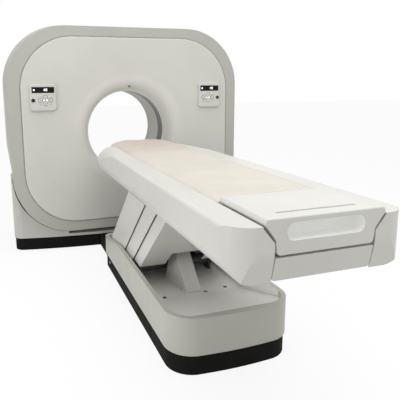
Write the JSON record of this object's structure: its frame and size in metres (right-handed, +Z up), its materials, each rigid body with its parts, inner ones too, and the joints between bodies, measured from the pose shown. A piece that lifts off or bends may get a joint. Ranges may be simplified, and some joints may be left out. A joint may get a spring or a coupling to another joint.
{
  "type": "CT scanner with tilting gantry and lifting patient table",
  "caption": "Computed-tomography scanner: tilting ring-shaped gantry on a floor stand, in front of it a lifting patient table with a sliding padded cradle.",
  "frame": {"origin": "on the floor under the isocentre, on the underside of the gantry's steel base plate", "axes": "+Z up, +Y along the bore away from the patient table, +X to the right seen from the table"},
  "size_m": [2.062, 3.445, 1.897],
  "materials": {
    "gantry_panel": "satin",
    "gantry_rim": "satin",
    "stand_light": "satin",
    "table_light": "satin",
    "plinth_dark": "matte",
    "window_dark": "gloss",
    "display_black": "gloss",
    "key_grey": "matte",
    "key_black": "matte",
    "lens_green": "gloss",
    "pad_vinyl": "satin",
    "frame_steel": "satin",
    "bare_steel": "machined",
    "drum_aluminium": "satin",
    "motor_grey": "satin",
    "belt_rubber": "matte",
    "tube_metal": "satin",
    "ring_brass": "satin"
  },
  "bodies": {
    "floor_frame": {"gantry_plinth": "plinth_dark", "stand_cover": "stand_light", "stand_frame": "frame_steel", "tilt_bearings": "bare_steel", "tilt_gearmotor": "motor_grey", "docking_duct": "plinth_dark", "table_plinth": "plinth_dark", "table_base_cover": "table_light", "table_base_frame": "frame_steel", "base_pivot_pins": "bare_steel", "lift_shroud": "table_light", "lift_gearmotor": "motor_grey"},
    "gantry": {"tilt_frame": "frame_steel", "gantry_shell": "gantry_rim", "front_cover": "gantry_panel", "rear_cover": "gantry_rim", "scan_window_ring": "window_dark", "bore_liner": "stand_light", "bearing_outer_ring": "bare_steel", "rotor_drive_motor": "motor_grey", "drive_belt": "belt_rubber", "brush_block": "belt_rubber", "displays": "display_black", "indicator_lens": "lens_green"},
    "rotor": {"rotor_drum": "drum_aluminium", "bearing_inner_ring": "bare_steel", "slip_ring": "ring_brass", "xray_tube": "tube_metal", "collimator": "drum_aluminium", "detector_arc": "tube_metal", "hv_generator": "drum_aluminium", "tube_cooler": "drum_aluminium", "counterweight": "tube_metal"},
    "motor_pulley": {"drive_pulley": "bare_steel"},
    "rear_arm": {"rear_lift_arm": "frame_steel", "column_cover_rear": "table_light"},
    "front_arm": {"front_lift_arm": "frame_steel", "column_cover_middle": "table_light", "column_cover_front": "table_light"},
    "lift_screw": {"lift_rod": "bare_steel"},
    "table": {"table_frame": "frame_steel", "table_pivot_pins": "bare_steel", "right_side_cover": "table_light", "left_side_cover": "table_light", "foot_panel": "table_light", "cradle_drive_motor": "motor_grey"},
    "cradle": {"cradle": "table_light", "cradle_end_housing": "table_light", "mattress_pad": "pad_vinyl"},
    "roller": {"drive_roller": "belt_rubber"},
    "key_stop_left": {"stop_button_left": "key_black"},
    "key_up_left": {"up_button_left": "key_grey"},
    "key_down_left": {"down_button_left": "key_grey"},
    "key_inner_left": {"inner_button_left": "key_grey"},
    "key_outer_left": {"outer_button_left": "key_grey"},
    "key_stop_right": {"stop_button_right": "key_black"},
    "key_up_right": {"up_button_right": "key_grey"},
    "key_down_right": {"down_button_right": "key_grey"},
    "key_inner_right": {"inner_button_right": "key_grey"},
    "key_outer_right": {"outer_button_right": "key_grey"}
  },
  "joints": [
    {"name": "gantry_tilt", "type": "hinge", "parent": "floor_frame", "child": "gantry", "pos_m": [0, 0, 1.01], "axis": [-1, 0, 0], "range_deg": [-30, 30]},
    {"name": "rotor_spin", "type": "hinge", "parent": "gantry", "child": "rotor", "pos_m": [0, 0, 1.01], "axis": [0, 1, 0], "continuous": true},
    {"name": "pulley_spin", "type": "hinge", "parent": "gantry", "child": "motor_pulley", "pos_m": [0.636, 0, 1.646], "axis": [0, 1, 0], "continuous": true},
    {"name": "table_lift", "type": "hinge", "parent": "floor_frame", "child": "front_arm", "pos_m": [0, -1.342, 0.225], "axis": [-1, 0, 0], "range_deg": [-28, 5]},
    {"name": "rear_arm_swing", "type": "hinge", "parent": "floor_frame", "child": "rear_arm", "pos_m": [0, -0.883, 0.225], "axis": [-1, 0, 0], "range_deg": [-28, 5]},
    {"name": "table_level", "type": "hinge", "parent": "front_arm", "child": "table", "pos_m": [0, -2.00355, 0.79002], "axis": [-1, 0, 0], "range_deg": [-5, 28]},
    {"name": "lift_screw_slide", "type": "slide", "parent": "floor_frame", "child": "lift_screw", "axis": [0, -1, 0], "range_m": [-0.0726, 0.0131]},
    {"name": "cradle_slide", "type": "slide", "parent": "table", "child": "cradle", "axis": [0, 1, 0], "range_m": [0, 1.6]},
    {"name": "roller_spin", "type": "hinge", "parent": "table", "child": "roller", "pos_m": [0, -0.64, 0.8615], "axis": [-1, 0, 0], "range_deg": [-1, 3060]},
    {"name": "stop_press_left", "type": "slide", "parent": "gantry", "child": "key_stop_left", "axis": [0, 1, 0], "range_m": [0, 0.002], "stiffness_N_per_m": 600},
    {"name": "up_press_left", "type": "slide", "parent": "gantry", "child": "key_up_left", "axis": [0, 1, 0], "range_m": [0, 0.002], "stiffness_N_per_m": 600},
    {"name": "down_press_left", "type": "slide", "parent": "gantry", "child": "key_down_left", "axis": [0, 1, 0], "range_m": [0, 0.002], "stiffness_N_per_m": 600},
    {"name": "inner_press_left", "type": "slide", "parent": "gantry", "child": "key_inner_left", "axis": [0, 1, 0], "range_m": [0, 0.002], "stiffness_N_per_m": 600},
    {"name": "outer_press_left", "type": "slide", "parent": "gantry", "child": "key_outer_left", "axis": [0, 1, 0], "range_m": [0, 0.002], "stiffness_N_per_m": 600},
    {"name": "stop_press_right", "type": "slide", "parent": "gantry", "child": "key_stop_right", "axis": [0, 1, 0], "range_m": [0, 0.002], "stiffness_N_per_m": 600},
    {"name": "up_press_right", "type": "slide", "parent": "gantry", "child": "key_up_right", "axis": [0, 1, 0], "range_m": [0, 0.002], "stiffness_N_per_m": 600},
    {"name": "down_press_right", "type": "slide", "parent": "gantry", "child": "key_down_right", "axis": [0, 1, 0], "range_m": [0, 0.002], "stiffness_N_per_m": 600},
    {"name": "inner_press_right", "type": "slide", "parent": "gantry", "child": "key_inner_right", "axis": [0, 1, 0], "range_m": [0, 0.002], "stiffness_N_per_m": 600},
    {"name": "outer_press_right", "type": "slide", "parent": "gantry", "child": "key_outer_right", "axis": [0, 1, 0], "range_m": [0, 0.002], "stiffness_N_per_m": 600}
  ],
  "couplings": [
    {"joint": "pulley_spin", "follows": "rotor_spin", "ratio": 12.5},
    {"joint": "rear_arm_swing", "follows": "table_lift", "ratio": 1},
    {"joint": "table_level", "follows": "table_lift", "ratio": -1},
    {"joint": "lift_screw_slide", "follows": "table_lift", "m_per_rad": 0.1482},
    {"joint": "roller_spin", "follows": "cradle_slide", "rad_per_m": 33.3}
  ]
}
